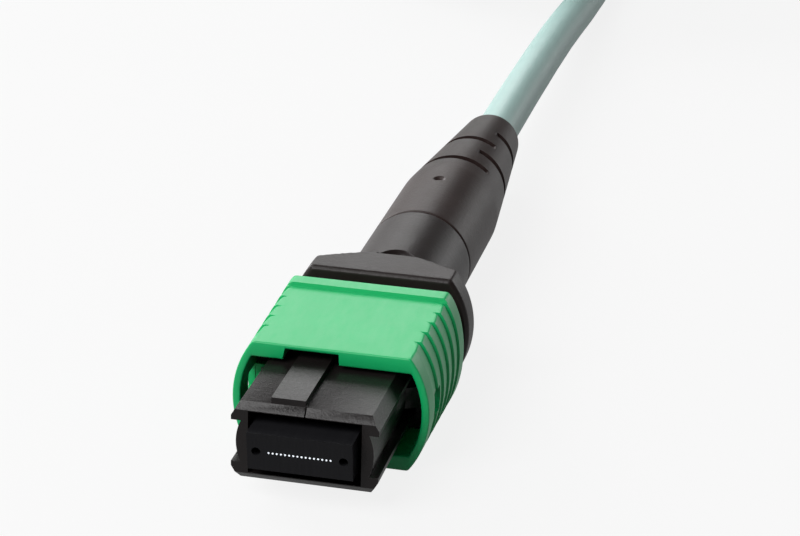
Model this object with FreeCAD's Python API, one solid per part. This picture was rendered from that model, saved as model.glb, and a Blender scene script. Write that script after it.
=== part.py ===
import FreeCAD
import Part
import math
import os

# A multi-fibre push-on plug: a rectangular ferrule that floats on a spring in a keyed
# plug frame, a pull-back coupling sleeve round it, and a rear housing, bend relief boot
# and round cable behind. Lengths are in millimetres.
#
# Every piece is drawn about the optical axis: X runs across the plug, Y from the middle
# of the mating face towards the cable, Z up. Last of all the pieces are set down together,
# so that the plug lies on its flat base with the origin under its middle.

V = FreeCAD.Vector
CENTRE, RIGHT, REAR, UP = V(0, 0, 0), V(1, 0, 0), V(0, 1, 0), V(0, 0, 1)

# Drawing aids: how far a cutting shape runs past what it cuts, and how deep a fused
# shape starts inside its neighbour
past = 1.0
bite = 0.1

# Ferrule and fibres
fibre_count = 16
fibre_pitch = 0.25
fibre_diameter = 0.125
fibre_bore_clearance = 0.0005
fibre_proud = 0.01
guide_pitch = 5.3
guide_diameter = 0.55
ferrule_width = 6.4
ferrule_height = 2.5
ferrule_length = 8.0
polish_angle = 8.0
flange_width = 7.1
flange_height = 3.0
flange_length = 2.15
window_width = 4.4
window_length = 1.8
window_front = 3.4
mouth_height = 1.5
epoxy_sink = 0.04
ribbon_thickness = 0.32
ribbon_stop = 0.5
rubber_boot_length = 4.4
rubber_clearance = 0.03
keeper_width = 6.8
keeper_height = 2.8
keeper_thickness = 1.8
keeper_notch_depth = 0.35
keeper_notch_length = 0.9
keeper_clearance = 0.1

# Plug frame
frame_front = 1.1
nose_height = 5.0
nose_flat_width = 8.0
wing_width = 9.0
wing_drop = 0.85
wing_edge = 0.3
side_root_width = 7.8
side_bulge_width = 8.4
front_bevel_depth = 0.4
front_bevel_height = 0.45
pocket_width = 6.9
pocket_height = 4.0
web_front = 4.3
float_clearance = 0.05
float_travel = 0.6
guide_front = 11.2
frame_length = 16.4
key_width = 2.1
key_offset = -1.1
key_rise = 0.4
key_length = 9.5
parting_groove = 0.08
catch_front = 9.6
catch_length = 0.95
catch_gap = 0.5
catch_ramp_share = 0.6
latch_window_front = 12.5
latch_window_length = 1.25
latch_window_height = 1.1

# Coupling sleeve
sleeve_diameter = 12.4
sleeve_height = 7.5
sleeve_front = 7.2
sleeve_length = 10.5
side_wall = 0.5
cavity_height = 5.5
slide_clearance = 0.05
band_length = 1.25
band_rise = 0.25
notch_width = 3.5
notch_offset = -1.25
notch_rise = 0.7
notch_length = 4.4
groove_count = 5
groove_first = 8.5
groove_pitch = 1.75
groove_depth = 0.28
groove_length = 1.4
side_window_front = 9.0
side_window_length = 1.55
side_window_height = 1.6
lug_thickness = 0.8
lug_height = 1.4

# Springs
coupling_spring_diameter = 1.15
coupling_spring_play = 0.125
coupling_spring_wire = 0.2
coupling_spring_turns = 6
channel_height = 1.6
channel_end_wall = 0.5
main_spring_width = 5.3
main_spring_height = 2.5
main_spring_wire = 0.4
main_spring_turns = 5
spring_steps = 8
resting_turns = 0.5
seat_gap = 0.02

# Spring push with its crimp post
push_clearance = 0.05
push_depth = 1.7
arm_length = 4.2
arm_thickness = 0.55
hook_gap = 0.33
hook_length = 0.95
hook_flat = 0.3
push_flange_gap = 0.4
push_flange_drop = 0.15
push_flange_thickness = 1.5
post_diameter = 4.6
post_length = 8.5
post_bore = 2.8
ribbon_room = 0.15
bundle_gap = 0.35

# Crimp
yarn_thickness = 0.12
crimp_start_gap = 1.2
crimp_wall = 0.55
crimp_length = 7.4
crimp_neck_length = 4.1
crimp_taper_length = 0.8
crimp_flat_share = 0.85

# Rear housing
skirt_front = 20.1
skirt_length = 1.9
skirt_diameter = 12.0
skirt_bevel = 0.45
front_neck_gap = 0.25
front_neck_drop = 0.13
shoulder_length = 1.9
housing_neck_diameter = 7.4
housing_neck_length = 10.0
spigot_diameter = 6.7
spigot_length = 2.6
housing_clearance = 0.12
thumb_radius = 1.6
thumb_offset = 0.5
thumb_depth = 0.45
thumb_front = 1.5
thumb_reach = 2.6

# Bend relief boot and cable
cable_diameter = 3.3
cable_wall = 0.7
bundle_clearance = 0.05
boot_length = 26.6
boot_straight_length = 10.0
boot_waist_diameter = 7.4
boot_end_diameter = 4.5
boot_bore_clearance = 0.05
slot_count = 4
slot_first = 12.0
slot_pitch = 3.1
slot_width = 0.9
slot_core_wall = 0.3
dimple_diameter = 0.7
dimple_inset = 3.0
dimple_offset = -0.1
dimple_depth = 0.2

# Free cable: the corners of its route after the boot are chosen by hand, in the frame of
# the finished plug. The length that is put away is a long coil, folded in line with it.
bend_place = 56.0
landing_place = 80.0
coil_place = 95.0
corner_share = 0.15
coil_turns_wide = 2
coil_turns_high = 5
coil_fold_diameters = 3.0
coil_run = 20.0
tie_thickness = 0.4
tie_width = 5.0
tie_clearance = 0.03

# Worked out from the sizes above
axis_height = sleeve_height / 2
frame_rear = frame_front + frame_length
sleeve_rear = sleeve_front + sleeve_length
flange_front = ferrule_length - flange_length
web_rear = flange_front - float_clearance
bay_width = flange_width + 2 * float_clearance
bay_height = flange_height + 2 * float_clearance
keeper_rear = ferrule_length + keeper_thickness
ribbon_width = fibre_count * fibre_pitch
ribbon_front = window_front + window_length
push_front = frame_rear - push_depth
post_front = frame_rear + push_flange_thickness
ribbon_rear = post_front - ribbon_stop
ribbon_room_rear = ribbon_rear + float_travel + ribbon_room
bundle_front = ribbon_room_rear + bundle_gap
post_rear = post_front + post_length
skirt_rear = skirt_front + skirt_length
housing_rear = skirt_rear + housing_neck_length
boot_rear = housing_rear + boot_length
boot_bore = cable_diameter + 2 * boot_bore_clearance
cavity_width = sleeve_diameter - 2 * side_wall
channel_depth = coupling_spring_diameter + 2 * coupling_spring_play
channel_floor = cavity_width / 2 - channel_depth
lug_front = catch_front + catch_length + slide_clearance
lug_rear = lug_front + lug_thickness
channel_rear = frame_rear - channel_end_wall
crimp_front = post_front + crimp_start_gap
crimp_bore = post_diameter + 2 * yarn_thickness
crimp_step = crimp_front + crimp_length
crimp_neck_front = crimp_step + crimp_taper_length
crimp_rear = crimp_neck_front + crimp_neck_length
crimp_neck_bore = cable_diameter + 0.02
face_reach = ferrule_height / 2 * math.tan(math.radians(polish_angle))
plug_middle = (boot_rear - face_reach) / 2


def box(x0, x1, y0, y1, z0, z1):
    return Part.makeBox(x1 - x0, y1 - y0, z1 - z0, V(x0, y0, z0))


def block(width, height, y0, y1):
    """A bar along the axis, centred on it."""
    return box(-width / 2, width / 2, y0, y1, -height / 2, height / 2)


def rod(diameter, y0, y1, x=0.0, z=0.0):
    return Part.makeCylinder(diameter / 2, y1 - y0, V(x, y0, z), REAR)


def round_bar(diameter, height, y0, y1):
    """A round bar along the axis with flats above and below."""
    return rod(diameter, y0, y1).common(block(2 * diameter, height, y0 - past, y1 + past))


def across_prism(side_points, width):
    """An outline in Y and Z, carried across the plug."""
    corners = [V(-width / 2, y, z) for y, z in side_points]
    return Part.Face(Part.makePolygon(corners + corners[:1])).extrude(RIGHT * width)


def along_prism(corners, y0, y1):
    """An outline in X and Z, carried along the axis."""
    points = [V(x, y0, z) for x, z in corners]
    return Part.Face(Part.makePolygon(points + points[:1])).extrude(REAR * (y1 - y0))


def turned(profile):
    """A closed outline of (radius, y) turned about the axis."""
    points = [V(r, y, 0) for r, y in profile]
    return Part.Face(Part.makePolygon(points + points[:1])).revolve(CENTRE, REAR, 360)


def flatted(radii, flats):
    """A bar turned from (radius, y) points, with flats of (half height, y) points above and below."""
    bar = turned(radii + [(0.0, radii[-1][1]), (0.0, radii[0][1])])
    top = [(y, z) for z, y in flats]
    bottom = [(y, -z) for y, z in reversed(top)]
    return bar.common(across_prism(top + bottom, 2 * sleeve_diameter))


def many_sided(diameter, centre, direction):
    """A six-sided outline that stands for the round section of a thin wire or fibre."""
    turn = FreeCAD.Rotation(UP, direction)
    radius = diameter / 2
    angles = [math.pi * i / 3 for i in range(6)]
    corners = [centre + turn.multVec(V(radius * math.cos(a), radius * math.sin(a), 0)) for a in angles]
    return Part.makePolygon(corners + corners[:1])


def thin_rod(diameter, y0, y1, x):
    return Part.Face(many_sided(diameter, V(x, y0, 0), REAR)).extrude(REAR * (y1 - y0))


def both_sides(shape):
    return shape.fuse(shape.mirror(CENTRE, RIGHT))


def tidy(shape):
    """The clean solid of a shape, or a compound where it has several."""
    clean = shape.removeSplitter()
    return clean.Solids[0] if len(clean.Solids) == 1 else Part.makeCompound(clean.Solids)


def fibre_places():
    first = -(fibre_count - 1) / 2 * fibre_pitch
    return [first + i * fibre_pitch for i in range(fibre_count)]


# ---- Ferrule group: it floats backwards together on the main spring

def mt_ferrule():
    top = ferrule_height / 2
    outline = [(-face_reach, top), (ferrule_length, top), (ferrule_length, -top), (face_reach, -top)]
    body = across_prism(outline, ferrule_width)
    body = body.fuse(block(flange_width, flange_height, flange_front, ferrule_length))
    rear = ferrule_length + past
    cuts = [rod(guide_diameter, -past, rear, side * guide_pitch / 2) for side in (-1, 1)]
    bore = fibre_diameter + 2 * fibre_bore_clearance
    cuts += [thin_rod(bore, -past, window_front + bite, x) for x in fibre_places()]
    cuts.append(window_space(top + past))
    cuts.append(block(window_width, mouth_height, ribbon_front, rear))
    return tidy(body.cut(cuts))


def window_space(top):
    half = window_width / 2
    return box(-half, half, window_front, ribbon_front, -ribbon_thickness / 2, top)


def window_epoxy():
    return window_space(ferrule_height / 2 - epoxy_sink)


def fibre_ends():
    rods = [thin_rod(fibre_diameter, -fibre_proud, window_front, x) for x in fibre_places()]
    return Part.makeCompound(rods)


def fibre_ribbon():
    return block(ribbon_width, ribbon_thickness, ribbon_front, ribbon_rear)


def ferrule_boot():
    rear = ribbon_front + rubber_boot_length
    outside = block(window_width - 2 * rubber_clearance, mouth_height - 2 * rubber_clearance,
                    ribbon_front, rear)
    slot = block(ribbon_width + 2 * rubber_clearance, ribbon_thickness + 2 * rubber_clearance,
                 ribbon_front - past, rear + past)
    return tidy(outside.cut(slot))


def pin_keeper():
    """The clip behind the ferrule: it holds no pins here, and the main spring rests on it."""
    plate = block(keeper_width, keeper_height, ferrule_length, keeper_rear)
    middle = (ferrule_length + keeper_rear) / 2
    notch = box(keeper_width / 2 - keeper_notch_depth, keeper_width, middle - keeper_notch_length / 2,
                middle + keeper_notch_length / 2, -keeper_height, keeper_height)
    opening = block(window_width + 2 * keeper_clearance, mouth_height + 2 * keeper_clearance,
                    ferrule_length - past, keeper_rear + past)
    return tidy(plate.cut([both_sides(notch), opening]))


def main_spring():
    """An oval coil whose end turns lie flat on the keeper and on the spring push."""
    wire = main_spring_wire
    front = keeper_rear + seat_gap + wire / 2
    rear = push_front - seat_gap - wire / 2
    half_width = (main_spring_width - wire) / 2
    half_height = (main_spring_height - wire) / 2
    return coil_spring(half_width, half_height, front, rear, main_spring_turns, wire, 0.0)


def coil_spring(half_width, half_height, front, rear, turns, wire, x):
    """An oval or round coil of short straight lengths, mitred, that lies flat at each end."""
    count = turns * spring_steps
    points = []
    for i in range(count + 1):
        angle = 2 * math.pi * i / spring_steps
        share = (i / spring_steps - resting_turns) / (turns - 2 * resting_turns)
        y = front + (rear - front) * min(max(share, 0.0), 1.0)
        points.append(V(x + half_width * math.cos(angle), y, half_height * math.sin(angle)))
    section = many_sided(wire, points[0], points[1] - points[0])
    path = Part.Wire(Part.makePolygon(points).Edges)
    mitred = 1
    return path.makePipeShell([section], True, False, mitred)


# ---- Plug frame and the spring push that snaps into it

def nose_outline():
    """Half of the nose seen from the front: a flat, a bevelled wing, a bowed side wall."""
    top = nose_height / 2
    wing_top = top - wing_drop
    wing_foot = wing_top - wing_edge
    half_root = side_root_width / 2
    upper = [V(0, 0, top), V(nose_flat_width / 2, 0, top), V(wing_width / 2, 0, wing_top),
             V(wing_width / 2, 0, wing_foot), V(half_root, 0, wing_foot)]
    lower = [V(p.x, 0, -p.z) for p in reversed(upper)]
    edges = Part.makePolygon(upper).Edges
    edges.append(Part.Arc(upper[-1], V(side_bulge_width / 2, 0, 0), lower[0]).toShape())
    edges += Part.makePolygon(lower).Edges
    edges.append(Part.makeLine(lower[-1], upper[0]))
    return Part.Wire(edges)


def nose(y0, y1):
    half = Part.Face(nose_outline())
    half.translate(REAR * y0)
    bar = both_sides(half.extrude(REAR * (y1 - y0)))
    top = nose_height / 2
    low = top - front_bevel_height
    back = y0 + front_bevel_depth
    side = [(y0, -low), (back, -top), (y1, -top), (y1, top), (back, top), (y0, low)]
    return bar.common(across_prism(side, 2 * wing_width))


def plug_frame():
    body = nose(frame_front, guide_front + bite)
    guide = round_bar(cavity_width - 2 * slide_clearance, cavity_height - 2 * slide_clearance,
                      guide_front, frame_rear)
    body = body.fuse([guide, key(), both_sides(catch())])
    return tidy(body.cut(frame_cuts()))


def key():
    front = frame_front + front_bevel_depth
    half = key_width / 2
    top = nose_height / 2
    return box(key_offset - half, key_offset + half, front, front + key_length,
               top - bite, top + key_rise)


def catch():
    """The ramped stop that the sleeve's lug rests against."""
    root = side_root_width / 2 - bite
    reach = cavity_width / 2 - catch_gap
    rear = catch_front + catch_length
    ramp_rear = catch_front + catch_length * catch_ramp_share
    ramp = [V(root, catch_front, 0), V(side_bulge_width / 2, catch_front, 0), V(reach, ramp_rear, 0),
            V(reach, rear, 0), V(root, rear, 0)]
    face = Part.Face(Part.makePolygon(ramp + ramp[:1]))
    face.translate(UP * (-lug_height / 2))
    return face.extrude(UP * lug_height)


def frame_cuts():
    window_rear = latch_window_front + latch_window_length
    cuts = [block(pocket_width, pocket_height, frame_front - past, web_front)]
    cuts.append(block(ferrule_width + 2 * float_clearance, ferrule_height + 2 * float_clearance,
                      web_front - past, web_rear + past))
    cuts.append(block(bay_width, bay_height, web_rear, frame_rear + past))
    channel = box(channel_floor, sleeve_diameter, guide_front - past, channel_rear,
                  -channel_height / 2, channel_height / 2)
    window = box(bay_width / 2 - bite, channel_floor + bite, latch_window_front, window_rear,
                 -latch_window_height / 2, latch_window_height / 2)
    top = nose_height / 2
    edge = key_offset + key_width / 2
    groove = box(edge, edge + parting_groove, frame_front - bite, frame_front + front_bevel_depth,
                 top - front_bevel_height - bite, top + bite)
    return cuts + [both_sides(channel), both_sides(window), groove]


def spring_push():
    width = bay_width - 2 * push_clearance
    height = bay_height - 2 * push_clearance
    body = block(width, height, push_front, frame_rear)
    flange = round_bar(cavity_width - 2 * push_flange_gap, cavity_height - 2 * push_flange_drop,
                       frame_rear, post_front)
    post = rod(post_diameter, post_front, post_rear)
    body = body.fuse([flange, post, both_sides(latch_arm(width / 2))])
    return tidy(body.cut(push_cuts()))


def latch_arm(outer):
    """A spring arm with a hook that sits in the frame's side window."""
    inner = outer - arm_thickness
    hooked = channel_floor - hook_gap
    tip = push_front - arm_length
    root = push_front + bite
    hook_rear = latch_window_front + latch_window_length - push_clearance
    hook_front = hook_rear - hook_length
    outline = [V(inner, root, 0), V(inner, tip, 0), V(outer, tip, 0), V(outer, hook_front, 0),
               V(hooked, hook_rear - hook_flat, 0), V(hooked, hook_rear, 0),
               V(outer, hook_rear, 0), V(outer, root, 0)]
    face = Part.Face(Part.makePolygon(outline + outline[:1]))
    height = latch_window_height - 2 * push_clearance
    face.translate(UP * (-height / 2))
    return face.extrude(UP * height)


def push_cuts():
    """Room for the ribbon, with its forward and backward travel, then a round bore."""
    room = block(ribbon_width + 2 * ribbon_room, ribbon_thickness + 2 * ribbon_room,
                 push_front - past, ribbon_room_rear)
    return [room, rod(post_bore, ribbon_room_rear - bite, post_rear + past)]


# ---- Coupling sleeve and its two return springs

def sleeve_body():
    band_front = sleeve_rear - band_length
    low = round_bar(sleeve_diameter, sleeve_height, sleeve_front, sleeve_rear)
    upper = box(-sleeve_diameter, sleeve_diameter, band_front, sleeve_rear,
                0, sleeve_height / 2 + band_rise)
    return low.fuse(rod(sleeve_diameter, band_front, sleeve_rear).common(upper))


def grip_grooves():
    """Wedge-shaped rings round the sleeve, kept to its bowed sides. Each gets deeper towards the
    rear and ends at a steep wall, which the fingers pull on."""
    outer = sleeve_diameter / 2
    floor = outer - groove_depth
    sides = both_sides(box(outer / 2, 2 * outer, sleeve_front, sleeve_rear,
                           -sleeve_height, sleeve_height))
    rings = []
    for i in range(groove_count):
        y = groove_first + i * groove_pitch
        rings.append(turned([(outer + bite, y), (outer, y), (floor, y + groove_length),
                             (outer + bite, y + groove_length)]))
    return [ring.common(sides) for ring in rings]


def coupling_sleeve():
    half_cavity = cavity_width / 2
    cavity = round_bar(cavity_width, cavity_height, sleeve_front - past, sleeve_rear + past)
    notch = box(notch_offset - notch_width / 2, notch_offset + notch_width / 2, sleeve_front - past,
                sleeve_front + notch_length, 0, cavity_height / 2 + notch_rise)
    window = box(half_cavity - past, sleeve_diameter, side_window_front,
                 side_window_front + side_window_length, -side_window_height / 2, side_window_height / 2)
    shell = sleeve_body().cut([cavity, notch, both_sides(window)] + grip_grooves())
    lug = box(wing_width / 2 + slide_clearance, half_cavity + side_wall / 2, lug_front, lug_rear,
              -lug_height / 2, lug_height / 2)
    return tidy(shell.fuse(both_sides(lug)))


def coupling_spring(side):
    wire = coupling_spring_wire
    radius = (coupling_spring_diameter - wire) / 2
    front = lug_rear + seat_gap + wire / 2
    rear = channel_rear - seat_gap - wire / 2
    x = side * (channel_floor + channel_depth / 2)
    return coil_spring(radius, radius, front, rear, coupling_spring_turns, wire, x)


# ---- Crimp, rear housing and boot

def aramid_yarn():
    inside = rod(post_diameter, crimp_front - past, post_rear + past)
    return tidy(rod(crimp_bore, crimp_front, post_rear).cut(inside))


def crimp_ring():
    """A tube pressed to six sides over the yarn, with a narrow neck on the cable's jacket."""
    outer = crimp_bore / 2 + crimp_wall
    neck = crimp_neck_bore / 2 + crimp_wall
    angles = [math.pi * i / 3 for i in range(6)]
    corners = [(outer * math.cos(a), outer * math.sin(a)) for a in angles]
    barrel = along_prism(corners, crimp_front, crimp_step)
    tail = turned([(0, crimp_step), (outer * crimp_flat_share, crimp_step), (neck, crimp_neck_front),
                   (neck, crimp_rear), (0, crimp_rear)])
    wide = rod(crimp_bore, crimp_front - past, crimp_step)
    narrow = rod(crimp_neck_bore, crimp_step - past, crimp_rear + past)
    return tidy(barrel.fuse(tail).cut([wide, narrow]))


def rear_housing():
    half_sleeve = sleeve_height / 2
    neck_radius = cavity_width / 2 - front_neck_gap
    neck_half = cavity_height / 2 - front_neck_drop
    skirt = skirt_diameter / 2
    bevel_rear = skirt_front + skirt_bevel
    radii = [(neck_radius, post_front), (neck_radius, skirt_front), (skirt - skirt_bevel, skirt_front),
             (skirt, bevel_rear), (skirt, skirt_rear),
             (housing_neck_diameter / 2, skirt_rear + shoulder_length),
             (housing_neck_diameter / 2, housing_rear)]
    flats = [(neck_half, post_front), (neck_half, skirt_front), (half_sleeve - skirt_bevel, skirt_front),
             (half_sleeve, bevel_rear), (half_sleeve, housing_rear)]
    body = flatted(radii, flats)
    spigot_rear = housing_rear + spigot_length
    body = body.fuse(rod(spigot_diameter, housing_rear - bite, spigot_rear))
    bore = crimp_bore + 2 * crimp_wall + 2 * housing_clearance
    return tidy(body.cut([rod(bore, post_front - past, spigot_rear + past), thumb_pocket()]))


def thumb_pocket():
    """A shallow round dish in the top of the neck, with a straight front behind the skirt."""
    floor = sleeve_height / 2 - thumb_depth
    round_cut = Part.makeCylinder(thumb_radius, sleeve_height,
                                  V(thumb_offset, skirt_rear + thumb_reach - thumb_radius, floor))
    behind_skirt = box(-sleeve_diameter, sleeve_diameter, skirt_rear + thumb_front, housing_rear,
                       0, sleeve_height)
    return round_cut.common(behind_skirt)


def strain_relief_boot():
    bore = boot_bore / 2
    socket = spigot_diameter / 2 + boot_bore_clearance
    ring_room = crimp_neck_bore / 2 + crimp_wall + housing_clearance
    socket_rear = housing_rear + spigot_length + boot_bore_clearance
    ring_rear = max(crimp_rear, socket_rear) + housing_clearance
    waist = boot_waist_diameter / 2
    body = turned([(0, housing_rear), (waist, housing_rear), (waist, housing_rear + boot_straight_length),
                   (boot_end_diameter / 2, boot_rear), (0, boot_rear)])
    inside = turned([(0, housing_rear - past), (socket, housing_rear - past), (socket, socket_rear),
                     (ring_room, socket_rear), (ring_room, ring_rear), (bore, ring_rear),
                     (bore, boot_rear + past), (0, boot_rear + past)])
    return tidy(body.cut([inside] + bend_slots() + [dimple()]))


def bend_slots():
    """Deep slots in pairs: above and below, then left and right, and so on down the tail."""
    floor = boot_bore / 2 + slot_core_wall
    reach = boot_waist_diameter
    cuts = []
    for i in range(slot_count):
        y = housing_rear + slot_first + i * slot_pitch
        for side in (-1, 1):
            slot = box(floor, reach, y, y + slot_width, -reach, reach)
            slot.rotate(CENTRE, REAR, 90 * (side + i % 2))
            cuts.append(slot)
    return cuts


def dimple():
    floor = boot_waist_diameter / 2 - dimple_depth
    y = housing_rear + boot_straight_length - dimple_inset
    return Part.makeCylinder(dimple_diameter / 2, boot_waist_diameter, V(dimple_offset, y, floor), UP)


def jacket_in_boot():
    inside = rod(cable_diameter - 2 * cable_wall, crimp_neck_front - past, boot_rear + past)
    return tidy(rod(cable_diameter, crimp_neck_front, boot_rear).cut(inside))


def fibre_bundle():
    diameter = cable_diameter - 2 * cable_wall - 2 * bundle_clearance
    return rod(diameter, bundle_front, boot_rear)


# ---- Free cable, in the frame of the finished plug

cable_route = [V(0, boot_rear - plug_middle, axis_height), V(0, bend_place, axis_height),
               V(0, landing_place, cable_diameter / 2),
               V(0, coil_place + cable_diameter, tie_thickness + cable_diameter / 2)]


def cable_run():
    """Straight runs joined by arcs that touch them; prints how tight each arc is."""
    edges = []
    start = cable_route[0]
    for before, corner, after in zip(cable_route, cable_route[1:], cable_route[2:]):
        back = (before - corner).normalize()
        ahead = (after - corner).normalize()
        reach = corner_share * min((before - corner).Length, (after - corner).Length)
        half_turn = (math.pi - back.getAngle(ahead)) / 2
        radius = reach / math.tan(half_turn)
        print("cable arc radius", round(radius, 1), "mm")
        arc_start = corner + back * reach
        arc_end = corner + ahead * reach
        inward = (back + ahead).normalize()
        middle = corner + inward * (radius / math.cos(half_turn) - radius)
        edges.append(Part.LineSegment(start, arc_start).toShape())
        edges.append(Part.Arc(arc_start, middle, arc_end).toShape())
        start = arc_end
    edges.append(Part.LineSegment(start, cable_route[-1]).toShape())
    path = Part.Wire(edges)
    direction = cable_route[1] - cable_route[0]
    ring = Part.Wire(Part.makeCircle(cable_diameter / 2, cable_route[0], direction))
    tube = path.makePipeShell([ring], True, False)
    whole = math.pi * cable_diameter ** 2 / 4 * path.Length
    print("cable run length", round(path.Length, 2), "volume ratio", round(tube.Volume / whole, 4))
    return tube


coil_height = coil_turns_high * cable_diameter
coil_inner = coil_fold_diameters * cable_diameter - cable_diameter / 2
coil_outer = coil_inner + coil_turns_wide * cable_diameter
coil_middle_x = cable_diameter / 2 - coil_outer


def cable_coil():
    """The outer shape of the wound cable: two straight sides and two half-round folds."""
    return tidy(oval(coil_outer).cut(oval(coil_inner)))


def oval(radius):
    """A long round-ended block that stands on the ties, about the middle of the coil."""
    near = V(coil_middle_x, coil_place, tie_thickness)
    folds = [Part.makeCylinder(radius, coil_height, near + REAR * y) for y in (0, coil_run)]
    corner = near - RIGHT * radius
    return Part.makeBox(2 * radius, coil_run, coil_height, corner).fuse(folds)


def coil_ties():
    """A band round the middle of each straight side."""
    t = tie_thickness
    low = coil_inner - tie_clearance
    high = coil_outer + tie_clearance
    middle = coil_place + coil_run / 2
    band = box(low - t, high + t, middle - tie_width / 2, middle + tie_width / 2, 0, coil_height + 2 * t)
    tie = band.cut(box(low, high, middle - tie_width, middle + tie_width, t, coil_height + t))
    ties = [tie, tie.mirror(CENTRE, RIGHT)]
    for piece in ties:
        piece.translate(RIGHT * coil_middle_x)
    return Part.makeCompound(ties)


def main():
    about_axis = {
        "mt_ferrule": mt_ferrule(),
        "window_epoxy": window_epoxy(),
        "fibre_ends": fibre_ends(),
        "fibre_ribbon": fibre_ribbon(),
        "ferrule_boot": ferrule_boot(),
        "pin_keeper": pin_keeper(),
        "main_spring": main_spring(),
        "plug_frame": plug_frame(),
        "spring_push": spring_push(),
        "coupling_sleeve": coupling_sleeve(),
        "coupling_spring_left": coupling_spring(-1),
        "coupling_spring_right": coupling_spring(1),
        "aramid_yarn": aramid_yarn(),
        "crimp_ring": crimp_ring(),
        "rear_housing": rear_housing(),
        "strain_relief_boot": strain_relief_boot(),
        "jacket_in_boot": jacket_in_boot(),
        "fibre_bundle": fibre_bundle(),
    }
    for shape in about_axis.values():
        shape.translate(V(0, -plug_middle, axis_height))
    laid_out = {"cable_run": cable_run(), "cable_coil": cable_coil(), "coil_ties": coil_ties()}
    os.makedirs("parts", exist_ok=True)
    for node, shape in {**about_axis, **laid_out}.items():
        shape.exportStep("parts/" + node + ".step")
        b = shape.BoundBox
        print(node, shape.ShapeType, "solids", len(shape.Solids), "valid", shape.isValid(),
              "volume", round(shape.Volume, 3),
              "x", round(b.XMin, 2), round(b.XMax, 2), "y", round(b.YMin, 2), round(b.YMax, 2),
              "z", round(b.ZMin, 2), round(b.ZMax, 2))


main()
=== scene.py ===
import math

import bmesh
import bpy
import numpy as np
from mathutils import Matrix, Vector


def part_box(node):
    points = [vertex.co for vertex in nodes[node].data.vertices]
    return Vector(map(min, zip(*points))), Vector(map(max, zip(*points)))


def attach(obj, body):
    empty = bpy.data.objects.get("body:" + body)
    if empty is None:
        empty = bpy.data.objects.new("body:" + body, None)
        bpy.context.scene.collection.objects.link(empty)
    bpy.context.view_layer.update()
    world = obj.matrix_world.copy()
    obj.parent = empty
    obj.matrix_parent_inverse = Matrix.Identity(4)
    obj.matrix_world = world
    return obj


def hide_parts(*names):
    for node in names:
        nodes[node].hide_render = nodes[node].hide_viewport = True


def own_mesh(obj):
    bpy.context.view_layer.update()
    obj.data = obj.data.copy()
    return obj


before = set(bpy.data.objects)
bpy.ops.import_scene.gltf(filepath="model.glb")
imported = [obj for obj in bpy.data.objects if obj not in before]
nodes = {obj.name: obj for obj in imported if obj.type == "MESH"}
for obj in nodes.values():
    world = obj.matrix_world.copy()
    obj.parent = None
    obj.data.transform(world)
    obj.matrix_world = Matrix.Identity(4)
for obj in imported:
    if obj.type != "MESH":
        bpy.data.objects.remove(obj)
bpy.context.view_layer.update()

# ---------------------------------------------------------------------------
# Ferrule: a black, glass-filled block, moulded, then ground and polished at a slant
# with its fibres in place. Two guide holes flank the row of sixteen fibre ends.
# Resin fills the window in its top.
# ---------------------------------------------------------------------------
mm = 0.001
# The ferrule's face, where the optical axis starts, stands this far ahead of the plug frame.
face_to_frame = 1.1
axis_height = 3.75
plug_origin = np.array([0.0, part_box("plug_frame")[0].y / mm - face_to_frame, axis_height])


class Value:
    """A number or colour inside a material. Sums and products of values add the Math nodes
    that work them out; node() adds any other node."""

    def __init__(self, tree, socket):
        self.tree = tree
        self.socket = socket

    def node(self, kind, inputs=None, out=0, stops=None, **settings):
        """A node of that kind: its settings first, then a ramp's stops, then its sockets."""
        made = self.tree.nodes.new(kind)
        for name, setting in settings.items():
            setattr(made, name, setting)
        # A new ramp has two stops already.
        for i, (place, colour) in enumerate(stops or []):
            stop = made.color_ramp.elements[i] if i < 2 else made.color_ramp.elements.new(place)
            stop.position = place
            stop.color = colour
        for name, value in (inputs or {}).items():
            if isinstance(value, Value):
                self.tree.links.new(value.socket, made.inputs[name])
            else:
                made.inputs[name].default_value = value
        return Value(self.tree, made.outputs[out])

    def maths(self, operation, first, second):
        return self.node("ShaderNodeMath", {0: first, 1: second}, operation=operation)

    def __add__(self, other):
        return self.maths("ADD", self, other)

    def __mul__(self, other):
        return self.maths("MULTIPLY", self, other)

    __radd__ = __add__
    __rmul__ = __mul__

    def between(self, first, second):
        """The colour that lies this far from the first colour to the second. A Mix node's
        sockets 6 and 7 and its output 2 are the ones for colours."""
        return self.node("ShaderNodeMix", {0: self, 6: first, 7: second}, out=2, data_type="RGBA")

    def into(self, name):
        shader = self.tree.nodes["Principled BSDF"]
        self.tree.links.new(self.socket, shader.inputs[name])


def finish(name, **fixed):
    """A material with its even values set on the shader; gives it and the Object coordinates."""
    made = bpy.data.materials.new(name)
    made.use_nodes = True
    shader = made.node_tree.nodes["Principled BSDF"]
    for socket, value in fixed.items():
        shader.inputs[socket.replace("_", " ")].default_value = value
    place = made.node_tree.nodes.new("ShaderNodeTexCoord")
    return made, Value(made.node_tree, place.outputs["Object"])


def noise(place, size, detail=2.0, stretch=(1.0, 1.0, 1.0)):
    """Cloudy values from 0 to 1 whose lumps are about size millimetres across."""
    scaled = place.node("ShaderNodeMapping", {"Vector": place, "Scale": stretch})
    return place.node("ShaderNodeTexNoise", {"Vector": scaled, "Scale": 1 / (size * mm), "Detail": detail})


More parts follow.
